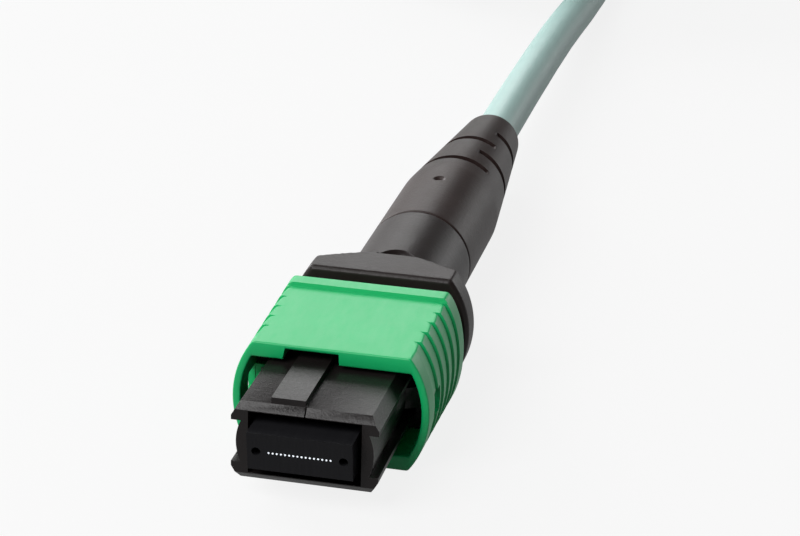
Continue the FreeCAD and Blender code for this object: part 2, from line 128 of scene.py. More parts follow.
def moulded(name, dark, pale, rough, grain, depth, **fixed):
    """Moulded plastic: cloudy flow marks between two tones, and a fine spark-eroded grain."""
    made, place = finish(name, **fixed)
    flow = noise(place, 3.0, 3.0)
    fine = noise(place, grain, 2.0)
    (flow * 0.7 + fine * 0.3).between(dark, pale).into("Base Color")
    fine_swing, flow_swing = 0.16, 0.1
    level = rough - (fine_swing + flow_swing) / 2
    (fine * fine_swing + flow * flow_swing + level).into("Roughness")
    lumps = fine + noise(place, grain * 3.5, 1.0) * 0.8
    place.node(
        "ShaderNodeBump", {"Height": lumps, "Distance": depth * mm, "Strength": 1.0}
    ).into("Normal")
    return made


def dressed(piece, body, stands_for, material):
    """The piece gets its material, its body and the CAD nodes that it stands for."""
    piece.data.materials.clear()
    piece.data.materials.append(material)
    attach(piece, body)
    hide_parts(*stands_for)
    return piece


def edged(name, node, bevel):
    """A merged copy of a CAD node's mesh, its flat faces made whole and its edges broken."""
    flat, crease = math.radians(0.5), math.radians(30)
    mesh = nodes[node].data.copy()
    mesh.name = name
    work = bmesh.new()
    work.from_mesh(mesh)
    bmesh.ops.remove_doubles(work, verts=work.verts, dist=0.0005 * mm)
    bmesh.ops.dissolve_limit(work, angle_limit=flat, verts=work.verts, edges=work.edges)
    work.to_mesh(mesh)
    work.free()
    mesh.shade_smooth()
    mesh.set_sharp_from_angle(angle=crease)
    piece = bpy.data.objects.new(name, mesh)
    bpy.context.scene.collection.objects.link(piece)
    worn = piece.modifiers.new("broken edges", "BEVEL")
    worn.width = bevel * mm
    worn.segments = 2
    worn.limit_method = "ANGLE"
    worn.angle_limit = crease
    worn.harden_normals = True
    return piece


def surface(name, points, faces, sharp=38):
    """A smooth mesh from points in millimetres about the plug's optical axis, with its faces
    turned outward and its edges sharp where it bends by more than that many degrees."""
    mesh = bpy.data.meshes.new(name)
    mesh.from_pydata(((points.reshape(-1, 3) + plug_origin) * mm).tolist(), [], faces)
    work = bmesh.new()
    work.from_mesh(mesh)
    bmesh.ops.recalc_face_normals(work, faces=work.faces)
    work.to_mesh(mesh)
    work.free()
    mesh.shade_smooth()
    mesh.set_sharp_from_angle(angle=math.radians(sharp))
    piece = bpy.data.objects.new(name, mesh)
    bpy.context.scene.collection.objects.link(piece)
    return piece


def ring_faces(rows, columns):
    """Four-sided faces between neighbouring points of a grid whose rows are rings. The last row
    is joined to the first as well, so the skin closes on itself."""
    row = np.arange(rows)[:, None]
    column = np.arange(columns)[None]
    here, after = row * columns, (row + 1) % rows * columns
    beside = (column + 1) % columns
    return np.stack([here + column, here + beside, after + beside, after + column], -1).reshape(-1, 4)


def tube_faces(rows, columns):
    """The faces of the same grid as an open tube, with one many-sided face over each end."""
    first = np.arange(columns)
    last = first + (rows - 1) * columns
    return ring_faces(rows, columns)[:-columns].tolist() + [first.tolist(), last.tolist()]


ferrule_face, ferrule_place = finish("polished_glass_filled_resin", Specular_IOR_Level=0.1)
streaks = noise(ferrule_place, 0.12, 2.0, (1.0, 0.06, 0.06))
specks = noise(ferrule_place, 0.05, 2.0)
(streaks * 0.6 + specks * 0.4).between((0.007, 0.007, 0.008, 1), (0.016, 0.016, 0.018, 1)).into("Base Color")
(streaks * 0.2 + 0.24).into("Roughness")
ferrule_place.node(
    "ShaderNodeBump", {"Height": streaks + specks * 0.5, "Distance": 0.0012 * mm, "Strength": 0.7}
).into("Normal")
dressed(edged("ferrule_block", "mt_ferrule", 0.05), "ferrule", ["mt_ferrule"], ferrule_face)

fibre_count = 16
fibre_pitch = 0.25
fibre_radius = 0.0625
fibre_sides = 20
fibre_turn = np.linspace(0, 2 * np.pi, fibre_sides, endpoint=False)
# Each fibre is a ring of its radius carried from the window to the face, then three smaller
# rings that dome its end. Rows are (share of the radius, place along the axis).
fibre_rings = np.array([[1.0, 3.35], [1.0, 0.02], [0.96, -0.004], [0.6, -0.009], [0.2, -0.01]])
fibre_shape = np.stack([
    fibre_rings[:, :1] * fibre_radius * np.cos(fibre_turn),
    np.repeat(fibre_rings[:, 1:], fibre_sides, 1),
    fibre_rings[:, :1] * fibre_radius * np.sin(fibre_turn),
], -1).reshape(-1, 3)
fibre_x = (np.arange(fibre_count) - (fibre_count - 1) / 2) * fibre_pitch
fibre_points = fibre_shape + np.stack([fibre_x, 0 * fibre_x, 0 * fibre_x], -1)[:, None]
fibre_faces = [
    [corner + fibre * len(fibre_shape) for corner in face]
    for fibre in range(fibre_count) for face in tube_faces(len(fibre_rings), fibre_sides)
]
# Painted glow: the fibre ends give out light of their own through the emission, though nothing shines into
# the fibres.
glass, glass_place = finish(
    "fibre_glass_painted_glow", Roughness=0.15, Emission_Strength=0.55, Emission_Color=(0.86, 0.93, 1.0, 1)
)
noise(glass_place, 0.2).between((0.72, 0.8, 0.86, 1), (0.95, 0.97, 1.0, 1)).into("Base Color")
dressed(surface("fibre_row", fibre_points, fibre_faces), "ferrule", ["fibre_ends"], glass)

epoxy, epoxy_place = finish("cured_epoxy", Coat_Weight=0.3, Roughness=0.25)
noise(epoxy_place, 0.8).between((0.16, 0.1, 0.035, 1), (0.26, 0.17, 0.06, 1)).into("Base Color")
epoxy_place.node(
    "ShaderNodeBump", {"Height": noise(epoxy_place, 0.5), "Distance": 0.01 * mm}
).into("Normal")
dressed(edged("window_resin", "window_epoxy", 0.04), "ferrule", ["window_epoxy"], epoxy)

# ---------------------------------------------------------------------------
# Behind the ferrule: the coloured fibres run as a flat ribbon through a rubber boot and a
# moulded keeper clip. The oval main spring presses on the clip, and is cold-wound steel wire.
# ---------------------------------------------------------------------------
ribbon_colours = [(0.02, 0.11, 0.5, 1), (0.8, 0.2, 0.02, 1), (0.03, 0.35, 0.08, 1), (0.2, 0.07, 0.02, 1),
                  (0.25, 0.25, 0.26, 1), (0.8, 0.8, 0.78, 1), (0.6, 0.02, 0.02, 1), (0.02, 0.02, 0.02, 1)]
ribbon, ribbon_place = finish("coloured_ribbon", Roughness=0.35)
ribbon_x = ribbon_place.node("ShaderNodeSeparateXYZ", {0: ribbon_place}, out=0)
# The row of colours runs across the ribbon twice, once for each half of the fibres.
colour_rows = fibre_count / len(ribbon_colours)
ribbon_lane = (ribbon_x * (1 / (fibre_count * fibre_pitch * mm)) + 0.5) * colour_rows
ribbon_share = ribbon_place.node("ShaderNodeMath", {0: ribbon_lane}, operation="FRACT")
ribbon_share.node("ShaderNodeValToRGB", {0: ribbon_share}, stops=[
    (i / len(ribbon_colours), colour) for i, colour in enumerate(ribbon_colours)
]).into("Base Color")
ribbon_place.node("ShaderNodeBump", {"Height": ribbon_share, "Distance": 0.01 * mm}).into("Normal")
dressed(edged("flat_ribbon", "fibre_ribbon", 0.05), "ferrule", ["fibre_ribbon"], ribbon)

rubber = moulded(
    "black_rubber", (0.008, 0.008, 0.008, 1), (0.016, 0.016, 0.016, 1), rough=0.75, grain=0.08, depth=0.004
)
dressed(edged("rubber_boot", "ferrule_boot", 0.08), "ferrule", ["ferrule_boot"], rubber)
keeper_plastic = moulded(
    "keeper_plastic", (0.018, 0.018, 0.02, 1), (0.03, 0.03, 0.032, 1), rough=0.5, grain=0.09, depth=0.003
)
dressed(edged("keeper_clip", "pin_keeper", 0.08), "ferrule", ["pin_keeper"], keeper_plastic)

steel, steel_place = finish("drawn_spring_steel", Metallic=1.0)
drawn = noise(steel_place, 0.05, 3.0)
drawn.between((0.36, 0.35, 0.34, 1), (0.58, 0.57, 0.55, 1)).into("Base Color")
(drawn * 0.2 + 0.18).into("Roughness")
steel_place.node("ShaderNodeBump", {"Height": drawn, "Distance": 0.002 * mm}).into("Normal")


def wound_spring(name, half_width, half_height, front, rear, turns, wire, x):
    """A tube of round wire along an oval helix: the centre goes round with the angle a, as
    (x + half_width cos a, y, half_height sin a), and y stays flat for half a turn at each end.
    The tube's rings stand across the path, on its outward and its lengthways direction."""
    rings_per_turn, sides = 28, 12
    a = np.linspace(0, 2 * np.pi * turns, turns * rings_per_turn + 1)
    y = front + (rear - front) * np.clip((a / (2 * np.pi) - 0.5) / (turns - 1), 0, 1)
    path = np.stack([x + half_width * np.cos(a), y, half_height * np.sin(a)], -1)
    along = np.gradient(path, axis=0)
    along /= np.linalg.norm(along, axis=1, keepdims=True)
    out = np.cross(along, [0, 1, 0])
    out /= np.linalg.norm(out, axis=1, keepdims=True)
    up = np.cross(out, along)
    turn = np.linspace(0, 2 * np.pi, sides, endpoint=False)[None, :, None]
    tube = path[:, None] + wire / 2 * (np.cos(turn) * out[:, None] + np.sin(turn) * up[:, None])
    return surface(name, tube, tube_faces(*tube.shape[:2]), sharp=50)


main_coil = wound_spring(
    "main_coil", half_width=2.45, half_height=1.05, front=10.02, rear=15.58, turns=5, wire=0.38, x=0.0
)
main_spring = dressed(main_coil, "plug", ["main_spring"], steel)
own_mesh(main_spring)

# ---------------------------------------------------------------------------
# Plug frame and spring push: the dark keyed nose that enters an adapter, with the latching
# push behind it. Both are glass-filled and come from a spark-eroded mould, so they are matt.
# ---------------------------------------------------------------------------
nose_plastic = moulded(
    "nose_plastic", (0.003, 0.002, 0.002, 1), (0.014, 0.011, 0.011, 1),
    rough=0.35, grain=0.11, depth=0.016, Specular_IOR_Level=0.28,
)
dressed(edged("keyed_nose", "plug_frame", 0.09), "plug", ["plug_frame"], nose_plastic)
push_plastic = moulded(
    "push_plastic", (0.005, 0.005, 0.005, 1), (0.014, 0.013, 0.013, 1),
    rough=0.5, grain=0.085, depth=0.008, Specular_IOR_Level=0.25,
)
dressed(edged("latching_push", "spring_push", 0.06), "plug", ["spring_push"], push_plastic)

# ---------------------------------------------------------------------------
# Coupling sleeve: the green grip that slides back to free the plug. It is one satin moulding,
# flat above and below, a little wider to the rear, and bowed at its sides, where five
# saw-toothed grooves take the thumb.
# ---------------------------------------------------------------------------
sleeve_radius = 6.2
sleeve_half = 3.75
sleeve_front = 7.2
sleeve_rear = 17.7
cavity_radius = 5.7
cavity_half = 2.75
band_front = 16.45
band_rise = 0.25
band_wall = 0.06
notch = (-3.0, 0.5)
notch_rise = 0.7
notch_rear = 11.6
notch_wall = 0.05
notch_end_wall = 0.08
groove_count = 5
groove_first = 8.5
groove_pitch = 1.6
groove_depth = 0.28
groove_length = 1.4
groove_wall = 0.05
# A groove's last drop is centred this far ahead of its steep wall, and is this long.
drop_ahead = 0.13
drop_length = 0.16
window = (9.0, 10.55)
window_half = 0.8
rim_round = 0.12
flare = 0.07
row_step = 0.4


def soft_flat(value, limit):
    """A coordinate held within plus or minus limit, with a tiny rounding where it gets there:
    v divided by the nth root of 1 + |v / limit| to the nth, with a high n."""
    n = 70
    return value / (1 + np.abs(value / limit) ** n) ** (1 / n)


def step_up(value, place, width):
    """A smooth rise from 0 to 1 over width, centred on place: 3t squared less 2t cubed."""
    t = np.clip((value - place) / width + 0.5, 0, 1)
    return t * t * (3 - 2 * t)


def spaced(start, end, step, *close):
    """Places from start to end, step apart, and finer ones in each (middle, reach, step) named.
    A place that all but meets the one before it is left out."""
    nearest = 0.004
    runs = [np.arange(start, end, step), [end]]
    runs += [np.arange(middle - reach, middle + reach + fine / 2, fine) for middle, reach, fine in close]
    found = np.unique(np.round(np.clip(np.concatenate(runs), start, end), 5))
    return found[np.concatenate([[True], np.diff(found) > nearest])]


def rounding(y, front, rear, radius):
    """How far a skin draws in near its two ends: a quarter circle of that radius at each."""
    near = np.clip(1 - np.minimum(y - front, rear - y) / radius, 0, 1)
    return radius * (1 - np.sqrt(1 - near**2))


groove_starts = groove_first + groove_pitch * np.arange(groove_count)
# Rows stand close together at the rims, the band's step, the notch's end and the grooves' walls.
sleeve_y = spaced(
    sleeve_front, sleeve_rear, row_step, (sleeve_front, rim_round, 0.02), (sleeve_rear, rim_round, 0.02),
    (band_front, 0.08, 0.02), (notch_rear, 0.05, 0.025), *[(place, 0, 1) for place in window],
    *[(start, 0.06, 0.03) for start in groove_starts],
    *[(start + groove_length - 0.09, 0.126, 0.018) for start in groove_starts],
)


def lift(z, radius):
    """The angle in degrees at which a circle of that radius reaches height z."""
    return math.degrees(math.asin(z / radius))


def key_turns(radius, half):
    """Where a section of that radius has its window's edges, its flats' ends and its key
    notch, in degrees from its right side, counter-clockwise."""
    edge, corner = lift(window_half, radius), lift(half, radius)
    notch_ends = [90 - lift(x, radius) for x in reversed(notch)]
    upper = [0, edge, corner, *notch_ends, 180 - corner, 180 - edge, 180]
    return np.round([*upper, 180 + edge, 180 + corner, 360 - corner, 360 - edge, 360], 5)


# The skin and the cavity share their columns: each outer angle has its own inner angle, and
# the window's edges, the corners of the flats and the key notch fall on the same columns.
keys_out, keys_in = key_turns(sleeve_radius, sleeve_half), key_turns(cavity_radius, cavity_half)
flat_ends, notch_ends = keys_out[[2, 5, 9, 10]], keys_out[[3, 4]]
turn_out = spaced(
    0, 360, 3.0, *[(key, 0, 1) for key in keys_out],
    *[(key, 3.6, 0.4) for key in flat_ends], *[(key, 0.5, 0.12) for key in notch_ends],
)[:-1]
turn_in = np.interp(turn_out, keys_out, keys_in)

y = sleeve_y[:, None]
angle = np.radians(turn_out)[None]
rim = rounding(y, sleeve_front, sleeve_rear, rim_round)
# Each groove slopes in to half its depth, drops to the rest just before its steep wall, and ends.
slopes = [np.clip((y - start) / groove_length, 0, 1) for start in groove_starts]
drops = [step_up(y, start + groove_length - drop_ahead, drop_length) for start in groove_starts]
walls = [step_up(y, start + groove_length, groove_wall) for start in groove_starts]
grooved = groove_depth * sum(
    (slope + drop) / 2 * (1 - wall) for slope, drop, wall in zip(slopes, drops, walls)
)
skin_radius = sleeve_radius - rim - grooved
band = band_rise * step_up(y, band_front + band_wall / 2, band_wall)
skin_z = soft_flat(skin_radius * np.sin(angle), sleeve_half + np.where(np.sin(angle) > 0, band, 0) - rim)
# The flats widen evenly to the rear by the flare, and the bowed sides between them don't.
rearward = (y - sleeve_front) / (sleeve_rear - sleeve_front)
widened = 1 + flare * rearward * np.clip(skin_z / sleeve_half, -1, 1) ** 2
skin = np.stack([skin_radius * np.cos(angle) * widened, y + 0 * angle, skin_z], -1)

angle = np.radians(turn_in)[None]
rim = rounding(y, sleeve_front, sleeve_rear, rim_round)
inner_x = (cavity_radius + rim) * np.cos(angle)
past_left, past_right = (step_up(inner_x, edge, notch_wall) for edge in notch)
in_notch = past_left * (1 - past_right) * (1 - step_up(y, notch_rear, notch_end_wall))
roof = cavity_half + rim + np.where(np.sin(angle) > 0, notch_rise * in_notch, 0)
cavity = np.stack([inner_x, y + 0 * angle, soft_flat((cavity_radius + rim) * np.sin(angle), roof)], -1)

sleeve_points = np.concatenate([skin, cavity[::-1]])
rows, columns = sleeve_points.shape[:2]
quads = ring_faces(rows, columns)
row_y = np.concatenate([sleeve_y, sleeve_y[::-1]])
in_rows = (row_y >= window[0]) & (row_y <= window[1])
# The window's own columns count as inside, whatever the last digit of their angle.
window_edge = keys_out[1] + 0.001
in_columns = np.abs((turn_out + 90) % 180 - 90) <= window_edge
in_window = (in_rows[:, None] & in_columns).ravel()
sleeve_quads = [quads[~in_window[quads].all(1)]]
# Each window is walled by quads between its edge on the skin and the same walk on the cavity.
up = np.flatnonzero(in_rows[:len(sleeve_y)])
for middle in (0, 180):
    turned = (turn_out - middle + 180) % 360 - 180
    side = np.flatnonzero(np.abs(turned) <= window_edge)
    side = side[np.argsort(turned[side])]
    walk_row = np.concatenate([0 * side + up[0], up[1:], 0 * side[1:] + up[-1], up[-2:0:-1]])
    walk_column = np.concatenate([side, 0 * up[1:] + side[-1], side[-2::-1], 0 * up[2:] + side[0]])
    outer = walk_row * columns + walk_column
    inner = (rows - 1 - walk_row) * columns + walk_column
    sleeve_quads.append(np.stack([outer, np.roll(outer, -1), np.roll(inner, -1), inner], -1))

# A square lug stands in from each side wall, just behind the window.
lug_reach = (4.55, 5.9)
lug_length = (10.6, 11.4)
lug_height = (-0.7, 0.7)
lug = np.array([[x, y, z] for x in lug_reach for y in lug_length for z in lug_height])
lug_quads = np.array([[0, 1, 3, 2], [4, 6, 7, 5], [0, 4, 5, 1], [2, 3, 7, 6], [0, 2, 6, 4], [1, 5, 7, 3]])
lugs = np.concatenate([lug, lug * [-1, 1, 1]])
count = rows * columns
sleeve_mesh = np.concatenate([sleeve_points.reshape(-1, 3), lugs])
sleeve_quads += [lug_quads + count, lug_quads[:, ::-1] + count + 8]

green, green_place = finish("green_satin_plastic", Specular_IOR_Level=0.5)
green_flow = noise(green_place, 4.0, 3.0)
green_grain = noise(green_place, 0.07, 2.0)
green_rubs = noise(green_place, 0.35, 3.0, (1.0, 0.25, 1.0))
green_mix = green_flow * 0.6 + green_grain * 0.4
green_mix.between((0.002, 0.40, 0.12, 1), (0.006, 0.50, 0.155, 1)).into("Base Color")
(green_grain * 0.14 + green_rubs * 0.14 + 0.26).into("Roughness")
green_place.node(
    "ShaderNodeBump", {"Height": green_grain + green_rubs * 0.6, "Distance": 0.004 * mm, "Strength": 0.8}
).into("Normal")
dressed(surface("green_sleeve", sleeve_mesh, np.concatenate(sleeve_quads).tolist()),
        "sleeve", ["coupling_sleeve"], green)

for x, hand in ((-5.0, "left"), (5.0, "right")):
    node = "coupling_spring_" + hand
    small_coil = wound_spring(
        "return_spring_" + hand,
        half_width=0.475, half_height=0.475, front=11.54, rear=16.86, turns=7, wire=0.19, x=x,
    )
    spring = dressed(small_coil, "plug", [node], steel)
    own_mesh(spring)

# ---------------------------------------------------------------------------
# Crimp: the cable's aramid yarn is spread over the push's post and a soft, tin-plated copper
# ring is pressed to six sides over it, with a narrow neck on the jacket.
# ---------------------------------------------------------------------------
yarn, yarn_place = finish("aramid_yarn_fibres", Roughness=0.6)
strands = noise(yarn_place, 0.06, 3.0, (1.0, 0.04, 1.0))
strands.between((0.45, 0.3, 0.07, 1), (0.75, 0.58, 0.2, 1)).into("Base Color")
yarn_place.node("ShaderNodeBump", {"Height": strands, "Distance": 0.03 * mm}).into("Normal")
plated, plated_place = finish("tin_plated_copper", Metallic=1.0)
plated_marks = noise(plated_place, 0.4, 4.0, (1.0, 0.3, 1.0))
plated_marks.between((0.55, 0.53, 0.5, 1), (0.72, 0.71, 0.69, 1)).into("Base Color")
(plated_marks * 0.25 + 0.2).into("Roughness")
plated_place.node("ShaderNodeBump", {"Height": plated_marks, "Distance": 0.01 * mm}).into("Normal")
dressed(edged("spread_yarn", "aramid_yarn", 0.03), "plug", ["aramid_yarn"], yarn)
dressed(edged("pressed_ring", "crimp_ring", 0.06), "plug", ["crimp_ring"], plated)

# ---------------------------------------------------------------------------
# Rear housing: the dark moulding behind the sleeve. Its skirt stops the sleeve, its neck
# narrows to the boot, and a thumb dish is sunk in the top behind the skirt.
# ---------------------------------------------------------------------------
flange_radius, flange_half = 5.45, 2.62
flange_front = 19.0
skirt_radius, skirt_half = 6.0, 3.75
skirt_front = 20.1
skirt_rear = 22.0
skirt_chamfer = 0.22
neck_radius, neck_half = 3.7, 3.9
neck_front = 23.9
neck_rear = 31.9
spigot_radius = 3.35
spigot_rear = 34.6
bore_radius, bore_half = 3.09, 3.4
mouth_half = 2.42
mouth_rear = 20.4
bore_front = 20.5
dish_centre = (0.5, 23.0)
dish_radius = 1.6
dish_floor = 3.3
dish_front = 23.5
dish_wall = 0.12
dish_front_wall = 0.06
# Each corner is (radius, half height of the flats, place along the axis).
housing_corners = np.array([
    [bore_radius, mouth_half, flange_front],
    [flange_radius, flange_half, flange_front],
    [flange_radius, flange_half, skirt_front],
    [skirt_radius - skirt_chamfer, skirt_half - skirt_chamfer, skirt_front],
    [skirt_radius, skirt_half, skirt_front + skirt_chamfer],
    [skirt_radius, skirt_half, skirt_rear],
    [neck_radius, skirt_half, neck_front],
    [neck_radius, neck_half, neck_rear],
    [spigot_radius, neck_half, neck_rear],
    [spigot_radius, neck_half, spigot_rear],
    [bore_radius, bore_half, spigot_rear],
    [bore_radius, bore_half, bore_front],
    [bore_radius, mouth_half, mouth_rear],
])


def eased(corners, radius, steps):
    """A closed outline whose corners are curves: each starts and ends a radius away from the
    corner, or half way to the next if that is nearer, and bends as (1-t)^2, 2t(1-t), t^2."""
    before, after = np.roll(corners, 1, 0) - corners, np.roll(corners, -1, 0) - corners
    t = np.linspace(0, 1, steps)[None, :, None]
    reach_before = np.minimum(radius, np.linalg.norm(before, axis=1) / 2)[:, None]
    reach_after = np.minimum(radius, np.linalg.norm(after, axis=1) / 2)[:, None]
    start = corners + before / np.linalg.norm(before, axis=1, keepdims=True) * reach_before
    end = corners + after / np.linalg.norm(after, axis=1, keepdims=True) * reach_after
    bend = (1 - t) ** 2 * start[:, None] + 2 * t * (1 - t) * corners[:, None] + t**2 * end[:, None]
    return bend.reshape(-1, corners.shape[1])


def divided(outline, longest):
    """The same closed outline with each run longer than that split into equal parts."""
    ahead = np.roll(outline, -1, 0)
    parts = np.maximum(1, np.ceil(np.linalg.norm(ahead - outline, axis=1) / longest)).astype(int)
    owner = np.repeat(np.arange(len(outline)), parts)
    share = (np.arange(len(owner)) - np.repeat(np.cumsum(parts) - parts, parts)) / parts[owner]
    return outline[owner] + (ahead - outline)[owner] * share[:, None]


housing_outline = divided(eased(housing_corners, radius=0.12, steps=5), row_step)
# The grid is finer where the outer skin passes the dish, and at the ends of the skirt's flats.
outer_skin = 3.6
dish_rows = (24.1, 0.8, 0.04)
dish_turns = (82, 28, 0.5)
flat_turns = [(turn, 4.0, 0.5) for turn in (37.5, 142.5, 217.5, 322.5)]
beside_dish = np.abs(housing_outline[:, 2] - dish_rows[0]) < dish_rows[1]
beside_dish &= housing_outline[:, 0] > outer_skin
housing_outline = divided(housing_outline, np.where(beside_dish, dish_rows[2], row_step))
housing_turn = np.radians(spaced(0, 360, 2.5, *flat_turns, dish_turns)[:-1])[None]
radius, half, along = (housing_outline[:, k][:, None] for k in range(3))
housing_x = radius * np.cos(housing_turn)
housing_z = soft_flat(radius * np.sin(housing_turn), half)
from_dish = np.hypot(housing_x - dish_centre[0], along - dish_centre[1])
in_dish = (1 - step_up(from_dish, dish_radius, dish_wall)) * (radius > outer_skin)
in_dish = in_dish * step_up(along, dish_front + 0.05, dish_front_wall)
housing_z = np.where(housing_z > dish_floor, housing_z + (dish_floor - housing_z) * in_dish, housing_z)
housing_points = np.stack([housing_x, along + 0 * housing_x, housing_z], -1)
housing_plastic = moulded(
    "housing_plastic", (0.010, 0.006, 0.006, 1), (0.024, 0.018, 0.017, 1),
    rough=0.41, grain=0.10, depth=0.012, Specular_IOR_Level=0.25,
)
dressed(surface("rear_shell", housing_points, ring_faces(*housing_points.shape[:2]).tolist()),
        "plug", ["rear_housing"], housing_plastic)

# ---------------------------------------------------------------------------
# Bend relief boot: a soft black elastomer tail, pushed over the housing's spigot. Four pairs of
# deep slots let it bend, each pair a quarter turn on from the pair before. They lean a little to
# the left of upright.
# ---------------------------------------------------------------------------
boot_front = 32.1
boot_waist = 42.0
boot_rear = 58.6
boot_radii = (3.7, 2.25)
boot_rounds = (0.12, 0.3)
waist_bend = 0.3
slot_first = 44.0
slot_pitch = 3.1
slot_width = 0.9
slot_wall = 0.09
slot_floor = 1.8
slot_lean = math.radians(14)
dimple = (-0.1, 39.0)
dimple_radius = 0.35
dimple_wall = 0.25
dimple_depth = 0.2
dimple_above = 3.0
far_out = 9.0
slot_starts = slot_first + slot_pitch * np.arange(4)
boot_y = spaced(
    boot_front, boot_rear, 0.5, (boot_front, boot_rounds[0], 0.03), (boot_rear, 0.36, 0.06),
    (dimple[1], 0.55, 0.055), (boot_waist, 1.2, 0.2), *[(s, slot_wall, 0.02) for s in slot_starts],
    *[(s + slot_width, slot_wall, 0.02) for s in slot_starts],
)
cut = [
    step_up(boot_y, s, slot_wall) * (1 - step_up(boot_y, s + slot_width, slot_wall)) for s in slot_starts
]
# The taper starts at the waist, where the bend is a hyperbola's.
past_waist = boot_y - boot_waist
tapered = (past_waist + np.sqrt(past_waist**2 + waist_bend**2)) / 2 / (boot_rear - boot_waist)
boot_radius = boot_radii[0] + (boot_radii[1] - boot_radii[0]) * tapered
# Each end has a rounding of its own, so the other end is put out of reach.
boot_radius -= (
    rounding(boot_y, boot_front, boot_rear + far_out, boot_rounds[0])
    + rounding(boot_y, boot_front - far_out, boot_rear, boot_rounds[1])
)
side_limit = far_out - (far_out - slot_floor) * (cut[1] + cut[3])
top_limit = far_out - (far_out - slot_floor) * (cut[0] + cut[2])
# The cable's bore from the rear, then the socket for the spigot: (radius, place along the axis).
bore = np.array([[1.66, 58.5], [1.66, 50.0], [1.66, 40.0], [1.7, 35.5], [3.39, 34.7], [3.39, boot_front]])
boot_rows = np.concatenate([
    np.stack([boot_radius, side_limit, top_limit, boot_y], -1),
    np.stack([bore[:, 0], far_out + 0 * bore[:, 0], far_out + 0 * bore[:, 0], bore[:, 1]], -1),
])
dimple_turns = (91, 8, 0.6)
boot_turn = np.radians(spaced(0, 360, 1.6, dimple_turns)[:-1])[None]
radius, side_limit, top_limit, along = (boot_rows[:, k][:, None] for k in range(4))
cut_x = soft_flat(radius * np.cos(boot_turn - slot_lean), side_limit)
cut_z = soft_flat(radius * np.sin(boot_turn - slot_lean), top_limit)
boot_x = cut_x * math.cos(slot_lean) - cut_z * math.sin(slot_lean)
boot_z = cut_x * math.sin(slot_lean) + cut_z * math.cos(slot_lean)
from_dimple = np.hypot(boot_x - dimple[0], along - dimple[1])
sunk = 1 - step_up(from_dimple, dimple_radius, dimple_wall)
boot_z = boot_z - dimple_depth * sunk * (boot_z > dimple_above)
boot_points = np.stack([boot_x, along + 0 * boot_x, boot_z], -1)
elastomer = moulded(
    "boot_elastomer", (0.014, 0.008, 0.007, 1), (0.036, 0.021, 0.019, 1),
    rough=0.44, grain=0.10, depth=0.012, Specular_IOR_Level=0.27,
)
dressed(surface("relief_boot", boot_points, ring_faces(*boot_points.shape[:2]).tolist()),
        "plug", ["strain_relief_boot"], elastomer)

# ---------------------------------------------------------------------------
# Cable: a round aqua jacket over loose coloured fibres and yarn. It leaves the boot straight,
# lies down behind it, and the rest of its metre is wound in a long coil under two fabric ties.
# ---------------------------------------------------------------------------
cable = 3.3
jacket, jacket_place = finish(
    "aqua_jacket", Subsurface_Weight=0.35, Subsurface_Scale=1.2 * mm, Subsurface_Radius=(1, 1, 1)
)
jacket_flow = noise(jacket_place, 2.5, 2.0)
jacket_grain = noise(jacket_place, 0.12, 2.0)
jacket_mix = jacket_flow * 0.6 + jacket_grain * 0.4
jacket_mix.between((0.32, 0.48, 0.45, 1), (0.41, 0.58, 0.55, 1)).into("Base Color")
(jacket_grain * 0.15 + 0.36).into("Roughness")
jacket_place.node(
    "ShaderNodeBump", {"Height": jacket_grain + jacket_flow, "Distance": 0.006 * mm}
).into("Normal")

route = [(0, 29.388, 3.75), (0, 56.0, 3.75), (0, 80.0, 1.65), (0, 98.3, 2.05)]
# The winding is long and round-ended. It rises through five levels in the outer lane, steps
# into the inner lane at the top, and comes down again. Every turn changes level on the left.
coil_middle = -13.2
folds_at = (95.0, 115.0)
lanes = (13.2, 9.9)
lowest = 2.05
turn_count = 9
top_turn = 4
# One turn: up the right side, round the far fold, down the left side, round the near fold.
half_step = 15
fold = np.arange(half_step, 180, 2 * half_step)
turn_angle = np.concatenate([[0, 0, 0], fold, [180, 180, 180], 180 + fold])
per_turn = len(turn_angle)
turn_share = np.array([0, 0.5, 1] + [1] * 6 + [1, 0.5, 0] + [0] * 6)
turn_climb = np.array([0] * 7 + [0.08, 0.2, 0.35, 0.5, 0.65, 0.8, 0.92] + [1] * 4)
station = np.arange(1, per_turn * turn_count - per_turn // 2)
turn, spot = station // per_turn, station % per_turn
inward = np.clip((station - top_turn * per_turn) / 2, 0, 1)
lane = lanes[0] + (lanes[1] - lanes[0]) * inward
climbed = turn + turn_climb[spot]
level = np.where(turn < top_turn, climbed, 2 * top_turn - climbed)
level = np.where(turn == turn_count - 1, 0, level)
a = np.radians(turn_angle[spot])
# A spline runs inside its points: round a fold they stand on lines that touch the lane, and
# beside it they keep the same distance from where the fold begins.
on_fold = np.isin(turn_angle[spot], np.concatenate([fold, 180 + fold]))
stand_out = np.where(on_fold, 1 / math.cos(math.radians(half_step)), 1.0)
near, far = folds_at
gap = lane * math.tan(math.radians(half_step))
beside_fold = near + gap + (far - near - 2 * gap) * turn_share[spot]
centre_y = np.where(on_fold, np.where(turn_share[spot] > 0.5, far, near), beside_fold)
coil = np.stack([
    coil_middle + lane * stand_out * np.cos(a),
    centre_y + np.where(on_fold, lane * stand_out * np.sin(a), 0),
    lowest + cable * level,
], -1)
cord_points = np.concatenate([route, coil]) * mm
curve = bpy.data.curves.new("aqua_cable", "CURVE")
curve.dimensions = "3D"
curve.bevel_depth = cable / 2 * mm
curve.bevel_resolution = 7
curve.resolution_u = 4
curve.use_fill_caps = True
line = curve.splines.new("NURBS")
line.points.add(len(cord_points) - 1)
line.points.foreach_set("co", np.c_[cord_points, np.ones(len(cord_points))].ravel())
line.order_u = 3
line.use_endpoint_u = True
cord = bpy.data.objects.new("aqua_cable", curve)
bpy.context.scene.collection.objects.link(cord)
dressed(cord, "plug", ["cable_run", "cable_coil"], jacket)
dressed(edged("jacket_end", "jacket_in_boot", 0.05), "plug", ["jacket_in_boot"], jacket)

